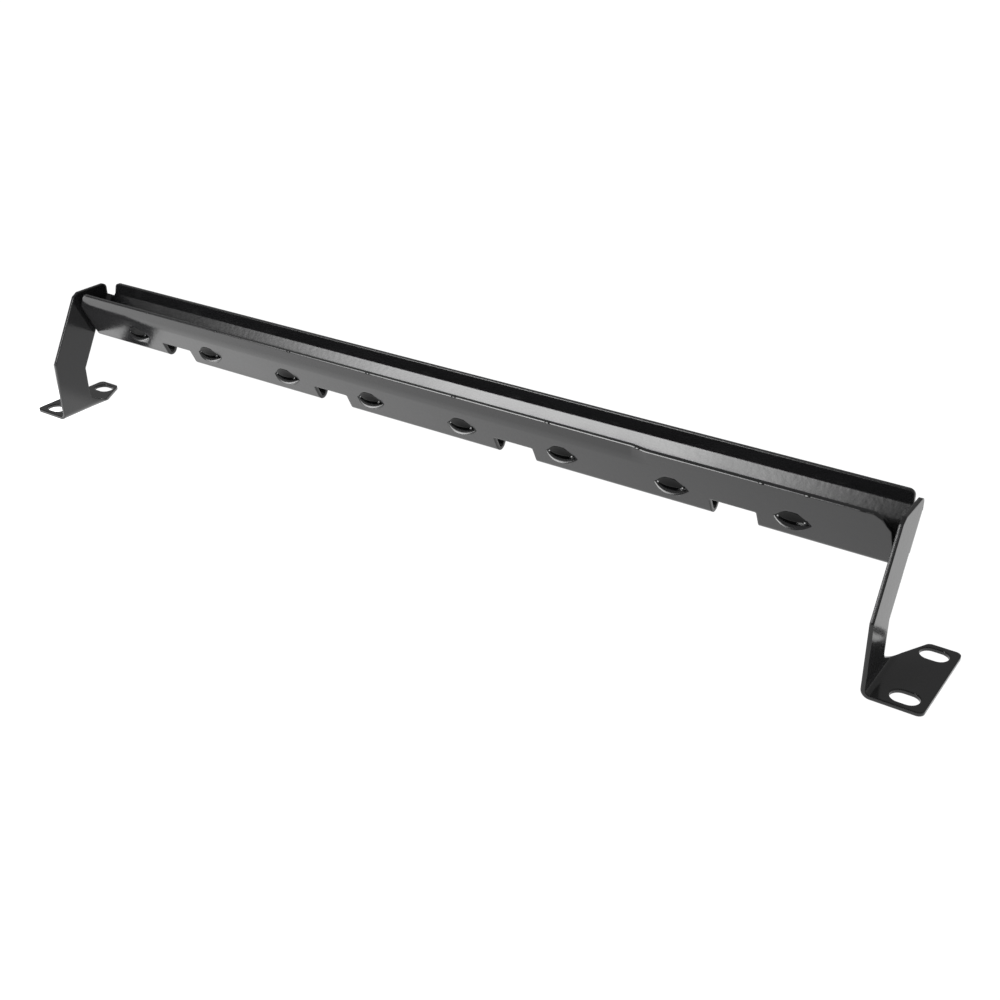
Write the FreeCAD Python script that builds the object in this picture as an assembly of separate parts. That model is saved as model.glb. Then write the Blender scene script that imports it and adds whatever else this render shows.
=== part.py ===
import FreeCAD, Part
import math
import os
from FreeCAD import Vector

# Rack cable lacing bar: one sheet of steel, cut flat and folded, for a 19-inch rack.
# X runs along the bar, Y from front to back, Z up.
# The origin is the middle of the four rail slots, on the underside of the ears.
# The bar is modelled with the ears' front edge on Y = 0 and moved there at the end.

# Sheet
sheet = 1.6

# Rack panel sizes: overall width, its slots' distance from the ends, rack unit and its slots
panel_width = 482.6
slot_inset = 8.75
ear_length = 21.5
ear_height = 44.45
slot_pitch = 31.75
slot_length = 11.2
slot_width = 8.0
ear_corner_radius = 2.5
ear_back_edge = 12.8
ear_taper_angle = 61.0
ear_bend_radius = 2.0

# Legs
leg_width = 17.9
leg_front_kink = 31.4
leg_lean = 30.0
leg_top_back = 39.7
leg_nose = 2.0
leg_corner_radius = 2.5
leg_bend_radius = 2.6
leg_relief = 2.5
leg_back_step = 0.25
leg_taper_fillet = 4.0

# Bar: a trough with a front wall, a fold, a web and a short flange
bar_top = 64.7
trough_bottom = 39.6
wall_top_front = 16.7
wall_lean = 25.0
web_lean = 30.0
fold_radius = 1.5
flange_back = 43.2
flange_bend_radius = 1.6
flange_corner_radius = 2.5
end_slot_depth = 7.4
left_end_trim_top = 2.8
left_end_trim_foot = 0.7
wall_corner_run = 6.1
wall_corner_drop = 7.6
wall_corner_first_run = 2.9
wall_corner_first_drop = 2.1

# Strip along the front wall's top that is bent more upright, from the left end to past the middle
strip_height = 6.7
strip_blend = 1.8
strip_turn_left = 18.0
strip_turn_right = 9.0
strip_right_end = 111.0
strip_fade = 7.0

# Notches through the fold
notch_count = 4
notch_pitch = 101.6
notch_width = 19.6
notch_top = 18.9
notch_radius = 0.7

# Lanced tie points in the front wall, measured down the wall from its top edge
lance_count = 8
lance_pitch = 50.8
lance_shift = -0.7
lance_slit = 16.2
lance_flat = 4.8
lower_lip_length = 14.2
lower_lip_end = 1.5
lower_lip_height = 6.3
lower_lip_open = 3.9
lower_lip_out = 1.9
lower_lip_bevel = 0.5
upper_lip_length = 12.0
upper_lip_height = 4.3
upper_lip_knee = 1.2
upper_lip_knee_in = 0.12
upper_lip_drop = 0.8
upper_lip_in = 0.9

ear_bend_outer = ear_bend_radius + sheet
leg_bend_outer = leg_bend_radius + sheet
fold_outer = fold_radius + sheet
leg_outer = panel_width / 2 - ear_length
trough_end = leg_outer - leg_bend_outer
ear_end = panel_width / 2
ear_start = leg_outer + ear_bend_radius
sin_wall = math.sin(math.radians(wall_lean))
cos_wall = math.cos(math.radians(wall_lean))
sin_web = math.sin(math.radians(web_lean))
cos_web = math.cos(math.radians(web_lean))


def lean_point(origin, along, across, run, rise):
    """Point at run along one axis and rise along the other, from an origin."""
    return origin + along * run + across * rise


def corner_trim(before, corner, after, radius):
    """Start, middle and end of the arc that rounds a corner."""
    back = (before - corner).normalize()
    ahead = (after - corner).normalize()
    half = back.getAngle(ahead) / 2
    reach = radius / math.tan(half)
    middle_way = (back + ahead).normalize()
    centre = corner + middle_way * (radius / math.sin(half))
    return corner + back * reach, centre - middle_way * radius, corner + ahead * reach


def outline_edges(points, radii, closed):
    """Straight edges through the points, with an arc at each corner that has a radius."""
    count = len(points)
    stops = []
    for index, point in enumerate(points):
        inner = closed or 0 < index < count - 1
        if inner and radii[index] > 0:
            stops.append(corner_trim(points[index - 1], point, points[(index + 1) % count], radii[index]))
        else:
            stops.append((point, None, point))
    edges = []
    for index, (arc_start, arc_middle, arc_end) in enumerate(stops):
        if arc_middle:
            edges.append(Part.Arc(arc_start, arc_middle, arc_end).toShape())
        if index < count - 1 or closed:
            following = stops[(index + 1) % count][0]
            if (following - arc_end).Length > 1e-6:
                edges.append(Part.LineSegment(arc_end, following).toShape())
    return edges


def plate(points, radii, thickness_vector):
    """Flat plate with the outline's corners rounded."""
    wire = Part.Wire(outline_edges(points, radii, True))
    return Part.Face(wire).extrude(thickness_vector)


def offset_path(points, distance):
    """The path in the YZ plane moved to its left, with mitred corners."""
    normals = []
    for start, end in zip(points, points[1:]):
        way = (end - start).normalize()
        normals.append(Vector(0, -way.z, way.y))
    moved = [points[0] + normals[0] * distance]
    for before, after, point in zip(normals, normals[1:], points[1:]):
        mitre = (before + after).normalize()
        moved.append(point + mitre * (distance / mitre.dot(after)))
    moved.append(points[-1] + normals[-1] * distance)
    return moved


def bend_shell(centre, start_way, end_way, inner_radius, along):
    """Quarter bend of the sheet about a centre line, from one face direction to the other."""
    middle_way = (start_way + end_way).normalize()
    outer_radius = inner_radius + sheet
    inner = [centre + way * inner_radius for way in (start_way, middle_way, end_way)]
    outer = [centre + way * outer_radius for way in (start_way, middle_way, end_way)]
    edges = [
        Part.Arc(*inner).toShape(),
        Part.LineSegment(inner[2], outer[2]).toShape(),
        Part.Arc(*outer).toShape(),
        Part.LineSegment(outer[0], inner[0]).toShape(),
    ]
    return Part.Face(Part.Wire(Part.__sortEdges__(edges))).extrude(along)


def faces_solid(point_loops):
    """Closed solid from flat faces given as loops of points."""
    faces = [Part.Face(Part.makePolygon(loop + [loop[0]])) for loop in point_loops]
    solid = Part.Solid(Part.Shell(faces))
    if solid.Volume < 0:
        solid.reverse()
    return solid


# Section of the trough: the fold's centre lies where both outer faces are one bend radius away
wall_top = Vector(0, wall_top_front, bar_top)
wall_down = Vector(0, sin_wall, -cos_wall)
wall_out = Vector(0, -cos_wall, -sin_wall)
web_up = Vector(0, sin_web, cos_web)
web_back = Vector(0, cos_web, -sin_web)
fold_centre_z = trough_bottom + fold_outer
wall_run = (bar_top - fold_centre_z + fold_outer * sin_wall) / cos_wall
fold_centre = wall_top + wall_down * wall_run - wall_out * fold_outer
web_base = fold_centre + web_back * fold_outer
wall_fold_reach = fold_outer * math.tan(math.radians(90 - (wall_lean + web_lean) / 2))
fold_corner = wall_top + wall_down * (wall_run + wall_fold_reach)
flange_corner = web_base + web_up * ((flange_back - web_base.y) / sin_web)
flange_top = Vector(0, flange_back, bar_top)


def trough():
    """Front wall, fold, web and flange as one bent strip."""
    back_path = [wall_top, fold_corner, flange_corner, flange_top]
    front_path = offset_path(back_path, sheet)
    back_edges = outline_edges(back_path, [0, fold_outer, flange_bend_radius + sheet, 0], False)
    front_edges = outline_edges(front_path, [0, fold_radius, flange_bend_radius, 0], False)
    ends = [
        Part.LineSegment(back_path[0], front_path[0]).toShape(),
        Part.LineSegment(back_path[-1], front_path[-1]).toShape(),
    ]
    wire = Part.Wire(Part.__sortEdges__(back_edges + front_edges + ends))
    strip = Part.Face(wire).extrude(Vector(2 * trough_end, 0, 0))
    strip.translate(Vector(-trough_end, 0, 0))
    return strip


def wall_point(x, down, out):
    """Point given by its place along the bar, its way down the wall and its height off the outer face."""
    return lean_point(Vector(x, wall_top.y, wall_top.z), wall_down, wall_out, down, out)


def strip_section(x, turn):
    """Section of the upright strip where it is turned by an angle from the wall."""
    lean = math.radians(wall_lean - turn)
    up = Vector(0, -math.sin(lean), math.cos(lean))
    out = Vector(0, -math.cos(lean), -math.sin(lean))
    foot = wall_point(x, strip_height + strip_blend, 0)
    crease = wall_point(x, strip_height, 0)
    shoulder = crease + up * strip_blend
    top = crease + up * strip_height
    mitre = (out + wall_out).normalize()
    inner_foot = foot - wall_out * sheet
    inner_crease = crease - mitre * (sheet / mitre.dot(out))
    inner_shoulder = shoulder - out * sheet
    inner_top = top - out * sheet
    bend = Part.BezierCurve()
    bend.setPoles([foot, crease, shoulder])
    inner_bend = Part.BezierCurve()
    inner_bend.setPoles([inner_shoulder, inner_crease, inner_foot])
    edges = [
        Part.LineSegment(inner_foot, foot).toShape(),
        bend.toShape(),
        Part.LineSegment(shoulder, top).toShape(),
        Part.LineSegment(top, inner_top).toShape(),
        Part.LineSegment(inner_top, inner_shoulder).toShape(),
        inner_bend.toShape(),
    ]
    return Part.Wire(edges)


def upright_strip():
    """The flat top strip of the wall, as the piece that is taken away, and the bent one in its place."""
    margin = 1.0
    fade_end = strip_right_end + strip_fade
    foot = strip_height + strip_blend
    corners = [(-trough_end - margin, -margin), (fade_end, -margin), (fade_end, foot), (-trough_end - margin, foot)]
    points = [wall_point(x, down, margin) for x, down in corners]
    flat = plate(points, [0] * len(points), wall_out * -(sheet + 2 * margin))
    even = [strip_section(-trough_end, strip_turn_left), strip_section(strip_right_end, strip_turn_right)]
    fading = [strip_section(strip_right_end, strip_turn_right), strip_section(fade_end, 0)]
    return flat, [Part.makeLoft(even, True, True), Part.makeLoft(fading, True, True)]


def wall_corner_cut(side):
    """The piece cut off the front wall's top corner at one end."""
    margin = 1.0
    strip_reach = strip_height * math.sin(math.radians(strip_turn_left))
    tip = trough_end - wall_corner_run
    knee = tip + wall_corner_first_run
    profile = [
        (tip - margin * wall_corner_first_run / wall_corner_first_drop, -margin),
        (knee, wall_corner_first_drop),
        (trough_end, wall_corner_drop),
        (trough_end + margin, wall_corner_drop),
        (trough_end + margin, -margin),
    ]
    points = [wall_point(side * x, down, margin) for x, down in profile]
    return plate(points, [0] * len(points), wall_out * -(sheet + strip_reach + 2 * margin))


def flange_end_cut(side, top_trim, foot_trim):
    """The rounded top corner of the flange and the sliver off its end, as the piece that is cut off."""
    margin = 2.0
    width = 4 * flange_corner_radius
    front = flange_back - sheet - margin
    depth = Vector(0, sheet + 2 * margin, 0)
    foot = bar_top - end_slot_depth

    def spots(corners):
        return [Vector(side * x, front, z) for x, z in corners]

    block = [
        (trough_end - width / 2, foot),
        (trough_end + margin, foot),
        (trough_end + margin, bar_top),
        (trough_end - width / 2, bar_top),
    ]
    kept = [
        (trough_end - width, foot),
        (trough_end - foot_trim, foot),
        (trough_end - top_trim, bar_top),
        (trough_end - width, bar_top),
    ]
    kept_plate = plate(spots(kept), [0, 0, flange_corner_radius, 0], depth)
    return plate(spots(block), [0] * 4, depth).cut(kept_plate)


def notch_cut(x):
    """One notch: the part of the wall, the fold and the web that is punched out."""
    reach = wall_run + 2 * fold_outer
    left = x - notch_width / 2
    right = x + notch_width / 2
    radii = [notch_radius, notch_radius, 0, 0]
    wall_side = [
        wall_point(left, notch_top, sheet),
        wall_point(right, notch_top, sheet),
        wall_point(right, reach, sheet),
        wall_point(left, reach, sheet),
    ]
    web_top = web_base + web_up * ((wall_point(0, notch_top, 0).z - web_base.z) / cos_web)
    web_start = web_top + web_back * sheet
    web_side = [
        Vector(left, web_start.y, web_start.z),
        Vector(right, web_start.y, web_start.z),
        Vector(right, web_start.y, web_start.z) - web_up * reach,
        Vector(left, web_start.y, web_start.z) - web_up * reach,
    ]
    punch = plate(wall_side, radii, wall_out * -(3 * sheet))
    return punch.fuse(plate(web_side, radii, web_back * -(3 * sheet)))


def lip(tip, rows, x):
    """A formed lip of the wall, with flat fields between its hinge and its free edge, run out to its tips.

    The tip and the rows are (half length, way down the wall, height off the face, lag of the inner side).
    """
    outer = []
    inner = []
    for half, down, height, lag in [tip] + rows:
        outer.append([wall_point(x + way * half, down, height) for way in (-1, 1)])
        inner.append([wall_point(x + way * half, down + lag, height - sheet) for way in (-1, 1)])
    loops = []
    for near, far in zip(outer[1:], outer[2:]):
        loops.append([near[0], near[1], far[1], far[0]])
        loops.append([near[0], far[0], outer[0][0]])
        loops.append([far[1], near[1], outer[0][1]])
    for near, far in zip(inner[1:], inner[2:]):
        loops.append([far[0], far[1], near[1], near[0]])
        loops.append([inner[0][0], far[0], near[0]])
        loops.append([inner[0][1], near[1], far[1]])
    loops.append([outer[1][1], outer[1][0], inner[1][0], inner[1][1]])
    loops.append([outer[-1][0], outer[-1][1], inner[-1][1], inner[-1][0]])
    loops.append([outer[1][0], outer[0][0], inner[0][0], inner[1][0]])
    loops.append([outer[0][1], outer[1][1], inner[1][1], inner[0][1]])
    loops.append([outer[0][0], outer[-1][0], inner[-1][0]])
    loops.append([outer[0][0], inner[-1][0], inner[0][0]])
    loops.append([outer[-1][1], outer[0][1], inner[0][1]])
    loops.append([outer[-1][1], inner[0][1], inner[-1][1]])
    return faces_solid(loops)


def lance(x):
    """The footprint of one lanced tie point and the two lips that are formed from it."""
    flat_half = lance_flat / 2
    lower_tip = (lower_lip_length / 2, lance_slit + lower_lip_end, 0, 0)
    lower_rows = [
        (flat_half, lance_slit + lower_lip_height, 0, 0),
        (flat_half, lance_slit + lower_lip_open, lower_lip_out, -lower_lip_bevel),
    ]
    upper_tip = (upper_lip_length / 2, lance_slit, 0, 0)
    upper_hinge = lance_slit - upper_lip_height
    upper_rows = [
        (flat_half, upper_hinge, 0, 0),
        (flat_half, upper_hinge + upper_lip_knee, -upper_lip_knee_in, 0),
        (flat_half, lance_slit + upper_lip_drop, -upper_lip_in, 0),
    ]
    around = [upper_rows[0], upper_tip, lower_tip, lower_rows[0]]
    right = [(spot[0], spot[1]) for spot in around]
    left = [(-across, down) for across, down in reversed(right)]
    points = [wall_point(x + across, down, sheet) for across, down in right + left]
    footprint = plate(points, [0] * len(points), wall_out * -(3 * sheet))
    return footprint, [lip(lower_tip, lower_rows, x), lip(upper_tip, upper_rows, x)]


def leg(side):
    """One leg with its bend to the web, its bend to the ear, and the ear."""
    inner_face = side * (leg_outer - sheet)
    thickness = Vector(side * sheet, 0, 0)

    # The leg's slanted back edge is where its bend to the web starts
    slot_floor = web_base + web_up * ((bar_top - end_slot_depth - web_base.z) / cos_web)
    relief_top = web_base + web_up * leg_relief

    def on_bend_line(base):
        return base - web_back * leg_bend_outer

    step_top = on_bend_line(relief_top)
    step_foot = step_top - web_back * leg_back_step
    back_kink_z = step_foot.z + (leg_width - step_foot.y) / math.tan(math.radians(web_lean))
    slot_back_z = slot_floor.z - (leg_top_back - slot_floor.y) * math.tan(math.radians(web_lean))
    front_top = (bar_top - leg_front_kink) * math.tan(math.radians(leg_lean))
    nose_low = bar_top - leg_nose * math.cos(math.radians(leg_lean))
    taper = math.tan(math.radians(ear_taper_angle))
    ear_taper_start = ear_height - (ear_end - ear_back_edge - ear_start) * taper
    neutral_length = (ear_bend_radius + sheet / 2) * math.pi / 2
    leg_taper_end = ear_taper_start - neutral_length * taper
    leg_taper_z = ear_bend_outer + (leg_taper_end - leg_width) / taper
    outline = [
        (0, ear_bend_outer),
        (0, leg_front_kink),
        (front_top - (bar_top - nose_low) * math.tan(math.radians(leg_lean)), nose_low),
        (front_top + leg_nose, bar_top),
        (leg_top_back, bar_top),
        (leg_top_back, slot_back_z),
        (on_bend_line(slot_floor).y, on_bend_line(slot_floor).z),
        (step_top.y, step_top.z),
        (step_foot.y, step_foot.z),
        (leg_width, back_kink_z),
        (leg_width, leg_taper_z),
        (leg_taper_end, ear_bend_outer),
    ]
    points = [Vector(inner_face, y, z) for y, z in outline]
    radii = [0, 0, 0, 0, leg_corner_radius, 0, 0, 0, 0, 0, leg_taper_fillet, 0]
    leg_plate = plate(points, radii, thickness)

    web_bend_centre = step_top + Vector(side * trough_end, 0, 0)
    web_bend = bend_shell(web_bend_centre, web_back, Vector(side, 0, 0), leg_bend_radius, slot_floor - relief_top)

    ear_bend_centre = Vector(side * ear_start, 0, ear_bend_outer)
    to_leg = Vector(-side, 0, 0)
    to_ear = Vector(0, 0, -1)
    ear_bend = bend_shell(ear_bend_centre, to_leg, to_ear, ear_bend_radius, Vector(0, ear_height, 0))
    ear_bend = ear_bend.cut(bend_taper_cut(ear_bend_centre, to_leg, to_ear, leg_taper_end, ear_taper_start))

    ear_outline = [
        (ear_start, 0),
        (ear_end, 0),
        (ear_end, ear_height),
        (ear_end - ear_back_edge, ear_height),
        (ear_start, ear_taper_start),
    ]
    ear_points = [Vector(side * x, y, 0) for x, y in ear_outline]
    ear_radii = [0, ear_corner_radius, ear_corner_radius, ear_corner_radius, 0]
    ear_plate = plate(ear_points, ear_radii, Vector(0, 0, sheet))
    for slot_y in slot_rows():
        ear_plate = ear_plate.cut(slot_cut(side * (ear_end - slot_inset), slot_y))
    return leg_plate.fuse([web_bend, ear_bend, ear_plate])


def bend_taper_cut(centre, start_way, end_way, start_y, end_y):
    """Cutter for a straight taper that runs round a bend, so its place grows with the angle."""
    steps = 4
    near = 0.5 * ear_bend_radius
    far = ear_bend_outer + 1
    sections = []
    for step in range(-1, steps + 2):
        angle = math.pi / 2 * step / steps
        way = start_way * math.cos(angle) + end_way * math.sin(angle)
        y = start_y + (end_y - start_y) * step / steps
        base = Vector(centre.x, 0, centre.z)
        corners = [
            base + way * near + Vector(0, y, 0),
            base + way * far + Vector(0, y, 0),
            base + way * far + Vector(0, ear_height + 1, 0),
            base + way * near + Vector(0, ear_height + 1, 0),
        ]
        sections.append(Part.makePolygon(corners + [corners[0]]))
    return Part.makeLoft(sections, True, False)


def slot_rows():
    """The two slot rows of a one-unit panel, evenly placed in the ear's height."""
    return [ear_height / 2 - slot_pitch / 2, ear_height / 2 + slot_pitch / 2]


def slot_cut(x, y):
    """One mounting slot, longer along the rack's width."""
    half = (slot_length - slot_width) / 2
    core = Part.makeBox(2 * half, slot_width, 3 * sheet, Vector(x - half, y - slot_width / 2, -sheet))
    ends = [Part.makeCylinder(slot_width / 2, 3 * sheet, Vector(x + way * half, y, -sheet)) for way in (-1, 1)]
    return core.fuse(ends)


def spaced(count, pitch):
    """Places along the bar, evenly spaced about its middle."""
    return [(index - (count - 1) / 2) * pitch for index in range(count)]


def lacing_bar():
    """The whole folded sheet."""
    cuts = []
    lips = []
    for side in (-1, 1):
        cuts.append(wall_corner_cut(side))
    cuts += [flange_end_cut(-1, left_end_trim_top, left_end_trim_foot), flange_end_cut(1, 0, 0)]
    cuts += [notch_cut(x) for x in spaced(notch_count, notch_pitch)]
    for x in spaced(lance_count, lance_pitch):
        footprint, formed = lance(x + lance_shift)
        cuts.append(footprint)
        lips += formed
    flat_strip, bent_strip = upright_strip()
    body = trough().cut(flat_strip).fuse(bent_strip)
    for cut in cuts:
        body = body.cut(cut)
    body = body.fuse(lips + [leg(-1), leg(1)]).removeSplitter()
    body = body.Solids[0]
    body.translate(Vector(0, -ear_height / 2, 0))
    return body


os.makedirs("parts", exist_ok=True)
lacing_bar().exportStep("parts/lacing_bar.step")
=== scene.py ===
import bpy
import math
from mathutils import Matrix, Vector


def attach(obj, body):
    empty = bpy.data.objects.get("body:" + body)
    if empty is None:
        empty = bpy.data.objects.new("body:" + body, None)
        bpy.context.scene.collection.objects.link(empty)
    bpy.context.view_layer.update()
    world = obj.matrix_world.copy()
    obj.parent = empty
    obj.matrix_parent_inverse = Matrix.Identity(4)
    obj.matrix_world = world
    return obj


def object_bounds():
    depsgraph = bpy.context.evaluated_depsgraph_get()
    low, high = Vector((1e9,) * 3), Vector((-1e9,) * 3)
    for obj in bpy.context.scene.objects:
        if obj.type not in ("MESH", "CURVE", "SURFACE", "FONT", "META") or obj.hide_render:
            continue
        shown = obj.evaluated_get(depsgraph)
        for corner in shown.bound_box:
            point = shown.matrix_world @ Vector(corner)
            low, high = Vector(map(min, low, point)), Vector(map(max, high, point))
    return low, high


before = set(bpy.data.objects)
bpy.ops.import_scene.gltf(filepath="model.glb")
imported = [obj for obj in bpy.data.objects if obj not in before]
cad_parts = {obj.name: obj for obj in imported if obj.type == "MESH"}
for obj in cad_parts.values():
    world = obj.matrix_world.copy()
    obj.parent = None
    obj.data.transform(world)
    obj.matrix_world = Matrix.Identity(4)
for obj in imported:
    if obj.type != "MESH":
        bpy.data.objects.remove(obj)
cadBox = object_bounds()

# Rack cable lacing bar: one folded steel sheet, black powder coat, on a white studio table.
# Metres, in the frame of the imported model: origin between the four rail slots, Z up.

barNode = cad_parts["lacing_bar"]


def hexColour(code):
    parts = [int(code[place:place + 2], 16) / 255 for place in (1, 3, 5)]
    linear = [part / 12.92 if part <= 0.04045 else ((part + 0.055) / 1.055) ** 2.4
              for part in parts]
    return (*linear, 1.0)


def addNode(tree, kind, settings=None, inputs=None, links=None):
    node = tree.nodes.new(kind)
    for name, value in (settings or {}).items():
        setattr(node, name, value)
    for name, value in (inputs or {}).items():
        node.inputs[name].default_value = value
    for name, source in (links or {}).items():
        tree.links.new(source, node.inputs[name])
    return node


def newMaterial(name):
    material = bpy.data.materials.new(name)
    material.use_nodes = True
    material.node_tree.nodes.clear()
    return material


# Semi-gloss black powder coat, sprayed and baked over folded steel. The eye gets a deep black
# that shows only in its reflections, broken up by the orange peel of melted powder, with a
# bright thread along every edge where the paint rounds it off.
powderCoat = {
    "colour": "#1e1e1f",
    "roughness": 0.15,
    "roughnessSpread": 0.03,
    "ior": 1.5,
    "patchSize": 0.02222,                 # some 22 mm from a glossier patch to a duller one
    "peelSize": 0.0020,                   # about 2 mm from one swell of the orange peel to the next
    "peelHeight": 0.000022,
    "grainSize": 0.0006,                  # real powder grains are some 0.05 mm, coarser here to show
    "grainHeight": 0.0000025,
    "edgeRound": 0.0010,                  # of the sheared edges, wider than the real one to show
    "trimRound": 0.0001,                  # of the small trim, whose mesh is rounded already
}


def makePowderCoat(look, name, edgeRound):
    material = newMaterial(name)
    tree = material.node_tree
    place = addNode(tree, "ShaderNodeTexCoord").outputs["Object"]
    swells = addNode(tree, "ShaderNodeTexNoise", {"noise_dimensions": "3D"},
                     {"Scale": 1 / look["peelSize"], "Detail": 1.5, "Roughness": 0.45},
                     {"Vector": place})
    grains = addNode(tree, "ShaderNodeTexNoise", {"noise_dimensions": "3D"},
                     {"Scale": 1 / look["grainSize"], "Detail": 1.0, "Roughness": 0.5},
                     {"Vector": place})
    patches = addNode(tree, "ShaderNodeTexNoise", {"noise_dimensions": "3D"},
                      {"Scale": 1 / look["patchSize"], "Detail": 2.0}, {"Vector": place})
    roughness = addNode(tree, "ShaderNodeMapRange", None,
                        {"From Min": 0.3, "From Max": 0.7,
                         "To Min": look["roughness"] - look["roughnessSpread"],
                         "To Max": look["roughness"] + look["roughnessSpread"]},
                        {"Value": patches.outputs["Fac"]})
    edges = addNode(tree, "ShaderNodeBevel", {"samples": 8}, {"Radius": edgeRound})
    peel = addNode(tree, "ShaderNodeBump", None, {"Strength": 1.0, "Distance": look["peelHeight"]},
                   {"Height": swells.outputs["Fac"], "Normal": edges.outputs["Normal"]})
    grain = addNode(tree, "ShaderNodeBump", None,
                    {"Strength": 1.0, "Distance": look["grainHeight"]},
                    {"Height": grains.outputs["Fac"], "Normal": peel.outputs["Normal"]})
    shader = addNode(tree, "ShaderNodeBsdfPrincipled", None,
                     {"Base Color": hexColour(look["colour"]), "IOR": look["ior"], "Metallic": 0.0},
                     {"Roughness": roughness.outputs["Result"], "Normal": grain.outputs["Normal"]})
    addNode(tree, "ShaderNodeOutputMaterial", None, None, {"Surface": shader.outputs["BSDF"]})
    return material


coatMaterial = makePowderCoat(powderCoat, "semi_gloss_black_powder_coat", powderCoat["edgeRound"])
barNode.data.materials.clear()
barNode.data.materials.append(coatMaterial)
print("lacing bar coated")

# The front wall's outer face. A place on it is given along the bar, down from the wall's top edge
# and out from the face.
frontWall = {
    "top": (0.0, -0.005525, 0.0647),
    "lean": 25.0,
    "stripHeight": 0.0067,                # the strip along its top that is bent more upright
    "stripTurn": (18.0, 9.0),             # degrees, at the strip's left and right end
    "stripEnds": (-0.2156, 0.111),
    "stripFade": 0.0075,
}
wallLean = math.radians(frontWall["lean"])
wallDown = Vector((0, math.sin(wallLean), -math.cos(wallLean)))
wallOut = Vector((0, -math.cos(wallLean), -math.sin(wallLean)))


def wallSpot(along, down, out):
    return Vector(frontWall["top"]) + Vector((along, 0, 0)) + wallDown * down + wallOut * out


def topEdgeSpot(along):
    left, right = frontWall["stripEnds"]
    leftTurn, rightTurn = frontWall["stripTurn"]
    share = min(1.0, (along - left) / (right - left))
    fade = min(1.0, max(0.0, (along - right) / frontWall["stripFade"]))
    turn = (leftTurn * (1 - share) + rightTurn * share) * (1 - fade * fade * (3 - 2 * fade))
    lean = math.radians(frontWall["lean"] - turn)
    crease = wallSpot(along, frontWall["stripHeight"], 0)
    return crease + Vector((0, -math.sin(lean), math.cos(lean))) * frontWall["stripHeight"]


def smoothPiece(name, verts, faces, material):
    mesh = bpy.data.meshes.new(name)
    mesh.from_pydata(verts, [], faces)
    mesh.polygons.foreach_set("use_smooth", [True] * len(mesh.polygons))
    mesh.materials.append(material)
    piece = bpy.data.objects.new(name, mesh)
    bpy.context.collection.objects.link(piece)
    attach(piece, "root")
    return piece


def skin(verts, faces, rings):
    first = len(verts)
    size = len(rings[0])
    last = (len(rings) - 1) * size
    for ring in rings:
        verts.extend(ring)
    sides = []
    for near in range(0, last, size):
        for place in range(size):
            ahead = (place + 1) % size
            sides.append((near + place, near + ahead, near + size + ahead, near + size + place))
    sides.append(tuple(reversed(range(size))))
    sides.append(tuple(last + place for place in range(size)))
    spots = [spot - rings[0][0] for ring in rings for spot in ring]
    volume = sum(spots[side[0]].dot(spots[side[turn]].cross(spots[side[turn + 1]]))
                 for side in sides for turn in range(1, len(side) - 1))
    for side in sides:                        # every face looks outwards
        faces.append(tuple(first + place for place in (side if volume > 0 else reversed(side))))


def sweepAlong(spot, legs):
    # each leg turns the surface from one facing to another: 0 faces out of the wall, 90 up along it
    spots = []
    for fromAngle, toAngle, length, steps in legs:
        for step in range(steps):
            angle = math.radians(fromAngle + (toAngle - fromAngle) * (step + 0.5) / steps)
            spot = spot + Vector((-math.cos(angle), -math.sin(angle))) * (length / steps)
            spots.append(spot)
    return spots


bump = {"rows": 8, "spokes": 12}
boxFacing = Vector((-0.05, -0.86, 0.5))   # a surface that faces this way mirrors the softbox


def addBump(verts, faces, spot, size):
    turn = boxFacing.to_track_quat("Z", "Y").to_matrix()
    rings = []
    for row in range(1, bump["rows"]):
        angle = math.pi * row / bump["rows"]
        wide, tall = size[0] * math.sin(angle), size[1] * math.sin(angle)
        high = size[2] * math.cos(angle)
        spokes = [math.tau * step / bump["spokes"] for step in range(bump["spokes"])]
        rings.append([spot + turn @ Vector((wide * math.cos(spoke), tall * math.sin(spoke), high))
                      for spoke in spokes])
    skin(verts, faces, rings)


# Lanced tie points. The press draws the lower lip out into a hood, and the coat runs smoothly
# round its rim, so that it shows as a bright line under a dark eye. The slit is torn a little at
# its ends, where two small burrs catch the softbox.
lances = {
    "count": 8,
    "pitch": 0.0508,
    "shift": -0.0007,
    "slit": 0.0162,                       # down from the wall's top edge
    "stations": 37,
    "halfLength": 0.0076,
    "tipDown": (0.0013, 0.0003),          # below the slit, and lower still at the right
    "rimDown": 0.0014,
    "rimOut": 0.0029,
    "rimProud": 0.00012,
    "rimTaper": 2.2,
    "tipSize": 0.6,                       # of the rim's corners at the tips, beside the middle
    "rimCorner": 0.00005,                 # radius
    "rimBand": 0.00080,                   # the part of the rim that mirrors the softbox
    "rimTop": 0.0010,
    "rimInside": 0.0004,
    "rimFacing": (44, 49, 61, 65, 66, 150),
    "rimSteps": (6, 8, 4, 5),             # round the corner, over the band and top, and inside
    "hingeDown": 0.0053,
    "hingeTaper": 1.7,
    "hingeSpot": (0.0003, -0.00015),
    "skirtPlaces": (0, 0.05, 0.5, 0.92, 1),
    "footUp": 0.0004,
    "sheet": 0.0015,
    "burrAlong": 0.0054,
    "burrOut": 0.00035,
    "burrSize": (0.00085, 0.0007, 0.0002),
}


def lanceRings(look, section):
    middle = (look["count"] - 1) / 2
    centres = [(index - middle) * look["pitch"] + look["shift"] for index in range(look["count"])]
    shares = [2 * step / (look["stations"] - 1) - 1 for step in range(look["stations"])]
    return [(centre, [section(centre, share) for share in shares]) for centre in centres]


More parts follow.
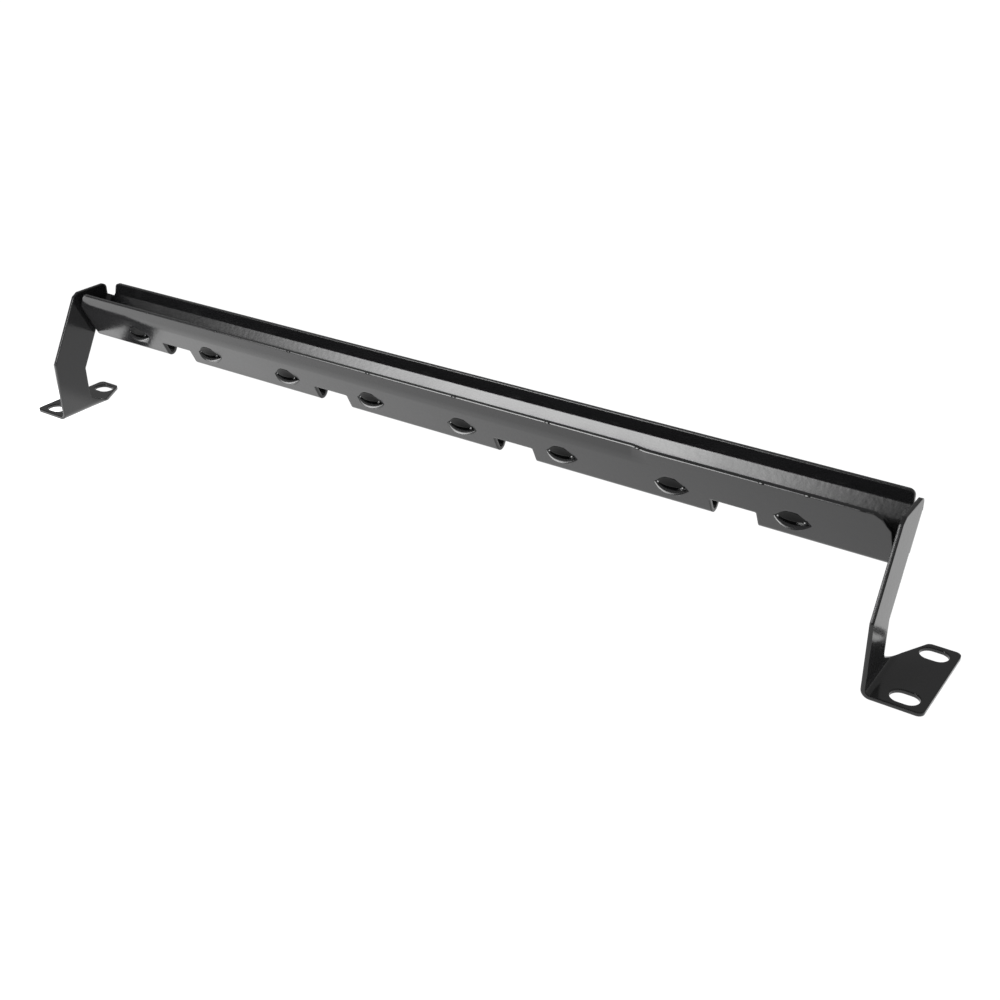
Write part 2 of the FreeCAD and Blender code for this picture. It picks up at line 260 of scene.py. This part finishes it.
def hoodSection(centre, share):
    look = lances
    rise = 1 - abs(share) ** look["rimTaper"]
    swell = 1 - abs(share) ** look["hingeTaper"]
    size = look["tipSize"] + (1 - look["tipSize"]) * rise
    tip = look["slit"] + look["tipDown"][0] + look["tipDown"][1] * share
    hinge = Vector((tip + look["hingeDown"] * swell, 0)) + Vector(look["hingeSpot"])
    rim = Vector((tip + look["rimDown"] * rise, look["rimOut"] * rise + look["rimProud"]))
    climb = rim - hinge
    skirt = math.degrees(math.atan2(-climb.y, -climb.x))
    corner, bandStart, bandEnd, topStart, topEnd, inside = look["rimFacing"]
    cornerSteps, bandSteps, topSteps, insideSteps = look["rimSteps"]
    outline = [hinge + climb * place for place in look["skirtPlaces"]]
    outline += sweepAlong(rim, [
        (skirt, corner, look["rimCorner"] * math.radians(corner - skirt) * size, cornerSteps),
        (bandStart, bandEnd, look["rimBand"] * size, bandSteps),
        (topStart, topEnd, look["rimTop"] * size, topSteps),
        (topEnd, inside, look["rimInside"] * size, insideSteps)])
    outline.append(Vector((hinge.x - look["footUp"], -look["sheet"])))
    return [wallSpot(centre + share * look["halfLength"], spot.x, spot.y) for spot in outline]


def makeLips(look, material):
    verts, faces = [], []
    for centre, rings in lanceRings(look, hoodSection):
        skin(verts, faces, rings)
        for side in (-1, 1):
            spot = wallSpot(centre + side * look["burrAlong"], look["slit"], look["burrOut"])
            addBump(verts, faces, spot, look["burrSize"])
    return smoothPiece("lance_lips", verts, faces, material)


trimMaterial = makePowderCoat(powderCoat, "semi_gloss_black_powder_coat_on_formed_lips",
                              powderCoat["trimRound"])
makeLips(lances, trimMaterial)

# Over each slit stands a shallow bulge, the dark lid of the eye; its dark is painted shade, from the
# dull black coat below.
bulges = {
    "halfLength": 0.0060,
    "up": 0.0037,
    "out": 0.0012,
    "roundness": 0.8,                     # of its upper edge, seen from the front
    "steepness": 1.8,                     # of its swell towards the slit
    "overSlit": 0.0001,
    "proud": 0.00003,
    "steps": 10,
    "lip": ((0.0002, -0.00008), (0.00028, -0.0003), (0.0002, -0.0006)),
}

# A dull, nearly black coat for the bulges: painted shade, standing in for the shade in the dip above
# each slit.
lanceShadeCoat = {"colour": "#161616", "roughness": 0.35, "ior": 1.5, "gloss": 0.12}


def makeLanceShadeCoat(look):
    material = newMaterial("dull_black_coat_painted_as_lance_shade")
    tree = material.node_tree
    shader = addNode(tree, "ShaderNodeBsdfPrincipled", None,
                     {"Base Color": hexColour(look["colour"]), "IOR": look["ior"], "Metallic": 0.0,
                      "Roughness": look["roughness"], "Specular IOR Level": look["gloss"]})
    addNode(tree, "ShaderNodeOutputMaterial", None, None, {"Surface": shader.outputs["BSDF"]})
    return material


def bulgeSection(centre, share):
    look = bulges
    swell = max(0.0, 1 - share ** 2)
    bottom = lances["slit"] - look["overSlit"]
    top = bottom - look["up"] * swell ** look["roundness"]
    outline = []
    for step in range(look["steps"] + 1):
        reach = step / look["steps"]
        outline.append(Vector((top + (bottom - top) * reach,
                               look["out"] * swell * reach ** look["steepness"] + look["proud"])))
    edge = outline[-1]
    outline += [edge + Vector(place) for place in look["lip"]]
    outline += [Vector((lances["slit"], -lances["sheet"])), Vector((top, -lances["sheet"] / 2))]
    return [wallSpot(centre + share * look["halfLength"], spot.x, spot.y) for spot in outline]


def makeBulges(material):
    verts, faces = [], []
    for _, rings in lanceRings(lances, bulgeSection):
        skin(verts, faces, rings)
    return smoothPiece("lance_bulges", verts, faces, material)


# The bulges wear the dull coat, which paints the shade over each slit.
makeBulges(makeLanceShadeCoat(lanceShadeCoat))
print("lances formed")

# The punch nibbled the wall's top edge in bites, most of them even, and each left a small nib.
nibs = {
    "first": -0.1631,
    "bite": 0.0471,
    "evenCount": 6,
    "others": (0.1143, 0.1666, 0.1846),
    "proud": 0.00025,
    "size": (0.0012, 0.0006, 0.0002),
}


def makeNibs(look, material):
    verts, faces = [], []
    places = [look["first"] + look["bite"] * index for index in range(look["evenCount"])]
    for place in (*places, *look["others"]):
        addBump(verts, faces, topEdgeSpot(place) + boxFacing * look["proud"], look["size"])
    return smoothPiece("top_edge_nibs", verts, faces, material)


makeNibs(nibs, trimMaterial)

# The coat gathers into a bead along the wall's sheared top edge, whose front draws a bright thread.
topBead = {
    "ends": (-0.2105, 0.2065),
    "steps": 180,
    "start": (0.00015, 0.00022),          # down the wall and out from it, as all of its section
    "legs": ((0, 45, 0.00005, 3), (50, 60, 0.0005, 5), (65, 170, 0.0002, 6)),
    "inside": (0.0003, -0.0002),
    "foot": (0.0005, -0.0003),
}


def makeTopBead(look, material):
    verts, faces, rings = [], [], []
    left, right = look["ends"]
    outline = sweepAlong(Vector(look["start"]), look["legs"])
    outline += [outline[-1] + Vector(look["inside"]), Vector(look["foot"])]
    for step in range(look["steps"] + 1):
        edge = topEdgeSpot(left + (right - left) * step / look["steps"])
        rings.append([edge + wallDown * spot.x + wallOut * spot.y for spot in outline])
    skin(verts, faces, rings)
    return smoothPiece("top_edge_bead", verts, faces, material)


makeTopBead(topBead, trimMaterial)
print("wall's top edge finished")

# The studio: a white table that glows, so it shows no shadow, in a dim room with a large round
# softbox at the front left.


def addGlow(tree, strength):
    glow = addNode(tree, "ShaderNodeEmission", None, {"Color": hexColour("#ffffff")},
                   {"Strength": strength})
    addNode(tree, "ShaderNodeOutputMaterial", None, None, {"Surface": glow.outputs["Emission"]})


# The glow is painted with the softbox's light: brighter in front of the bar, and more towards the
# left; behind the bar, in the bar's painted shadow, the table keeps its plain glow.
table = {
    "radius": 12.0,
    "rim": 96,
    "glow": 1.05,
    "glowLeft": 2.2,                      # in front of the bar, at its left
    "brightensAlong": (0.195, -0.41),
    "brightensAcross": (0.010, -0.004),
}


def makeTable(look):
    bpy.ops.mesh.primitive_circle_add(vertices=look["rim"], radius=look["radius"],
                                      fill_type="NGON")
    top = bpy.context.object
    top.name = "table"
    top.location.z = cadBox[0][2]
    material = newMaterial("white_table_lit_from_below_with_painted_softbox_light")
    tree = material.node_tree
    place = addNode(tree, "ShaderNodeTexCoord").outputs["Object"]
    spot = addNode(tree, "ShaderNodeSeparateXYZ", None, None, {"Vector": place})
    # Painted softbox light in front of the bar, and the bar's painted shadow behind it.
    near, far = look["brightensAcross"]
    front = addNode(tree, "ShaderNodeMapRange", {"interpolation_type": "SMOOTHSTEP"},
                    {"From Min": near, "From Max": far}, {"Value": spot.outputs["Y"]})
    right, left = look["brightensAlong"]
    side = addNode(tree, "ShaderNodeMapRange", None,
                   {"From Min": right, "From Max": left, "To Max": look["glowLeft"] - look["glow"]},
                   {"Value": spot.outputs["X"]})
    strength = addNode(tree, "ShaderNodeMath", {"operation": "MULTIPLY_ADD"}, {2: look["glow"]},
                       {0: front.outputs["Result"], 1: side.outputs["Result"]})
    addGlow(tree, strength.outputs["Value"])
    top.data.materials.append(material)


softbox = {
    "angle": (-31.4, 25.0),               # degrees right of straight ahead, and up
    "distance": 3.0,
    "radius": 1.07,
    "rim": 64,
    "core": 0.24,                         # radius of the evenly bright middle
    "radiance": 13.0,
}


def makeSoftbox(look):
    turn, rise = [math.radians(angle) for angle in look["angle"]]
    ahead = math.cos(rise)
    direction = Vector((math.sin(turn) * ahead, -math.cos(turn) * ahead, math.sin(rise)))
    bpy.ops.mesh.primitive_circle_add(vertices=look["rim"], radius=look["radius"],
                                      fill_type="NGON")
    diffuser = bpy.context.object
    diffuser.name = "softbox"
    diffuser.location = direction * look["distance"]
    diffuser.rotation_euler = direction.to_track_quat("Z", "Y").to_euler()
    material = newMaterial("white_nylon_diffuser")
    tree = material.node_tree
    place = addNode(tree, "ShaderNodeTexCoord").outputs["Object"]
    reach = addNode(tree, "ShaderNodeVectorMath", {"operation": "LENGTH"}, None, {"Vector": place})
    strength = addNode(tree, "ShaderNodeMapRange", {"interpolation_type": "SMOOTHSTEP"},
                       {"From Min": look["radius"], "From Max": look["core"],
                        "To Max": look["radiance"]},
                       {"Value": reach.outputs["Value"]})
    addGlow(tree, strength.outputs["Result"])
    diffuser.data.materials.append(material)
    diffuser.visible_camera = False


# A low black card in front, which draws the dark line beside each bright edge.
card = {"colour": "#141414", "width": 3.0, "height": 0.085, "middle": -0.6, "front": -0.16}


def makeCard(look):
    bpy.ops.mesh.primitive_plane_add(size=1.0)
    board = bpy.context.object
    board.name = "black_card"
    board.scale = (look["width"], look["height"], 1.0)
    board.rotation_euler = (math.radians(90), 0, 0)
    board.location = (look["middle"], look["front"], look["height"] / 2)
    material = newMaterial("matt_black_card")
    tree = material.node_tree
    paper = addNode(tree, "ShaderNodeBsdfDiffuse", None, {"Color": hexColour(look["colour"])})
    addNode(tree, "ShaderNodeOutputMaterial", None, None, {"Surface": paper.outputs["BSDF"]})
    board.data.materials.append(material)
    board.visible_camera = False


room = {"glow": 0.33, "backdrop": table["glow"]}


def makeRoom(look):
    world = bpy.data.worlds.new("dim_room")
    world.use_nodes = True
    tree = world.node_tree
    tree.nodes.clear()
    seen = addNode(tree, "ShaderNodeLightPath").outputs["Is Camera Ray"]
    strength = addNode(tree, "ShaderNodeMapRange", None,
                       {"To Min": look["glow"], "To Max": look["backdrop"]}, {"Value": seen})
    glow = addNode(tree, "ShaderNodeBackground", None, {"Color": hexColour("#ffffff")},
                   {"Strength": strength.outputs["Result"]})
    addNode(tree, "ShaderNodeOutputWorld", None, None, {"Surface": glow.outputs["Background"]})
    bpy.context.scene.world = world


makeTable(table)
makeSoftbox(softbox)
makeCard(card)
makeRoom(room)
bpy.context.scene.view_settings.view_transform = "Standard"    # the table stays paper white
print("studio lit")

# Camera fitted to the corners of the ears, legs and trough in the photograph.
photoCamera = {
    "place": (0.33581, -0.41276, 0.29084),
    "turn": 35.138,                       # degrees, as the next two
    "pitchDown": 28.097,
    "roll": -0.976,
    "lens": 47.711,
    "sensor": 36.0,
    "shift": (0.00038, -0.0032),
    "clip": (0.01, 60.0),
}


def makeCamera(view):
    data = bpy.data.cameras.new("photo_camera")
    data.sensor_fit = "HORIZONTAL"
    data.sensor_width = view["sensor"]
    data.lens = view["lens"]
    data.shift_x, data.shift_y = view["shift"]
    data.clip_start, data.clip_end = view["clip"]
    camera = bpy.data.objects.new("photo_camera", data)
    turn = Matrix.Rotation(math.radians(view["turn"]), 4, "Z")
    tilt = Matrix.Rotation(math.radians(90 - view["pitchDown"]), 4, "X")
    roll = Matrix.Rotation(math.radians(view["roll"]), 4, "Z")
    camera.matrix_world = Matrix.Translation(view["place"]) @ turn @ tilt @ roll
    bpy.context.collection.objects.link(camera)
    bpy.context.scene.camera = camera


makeCamera(photoCamera)
print("camera placed")
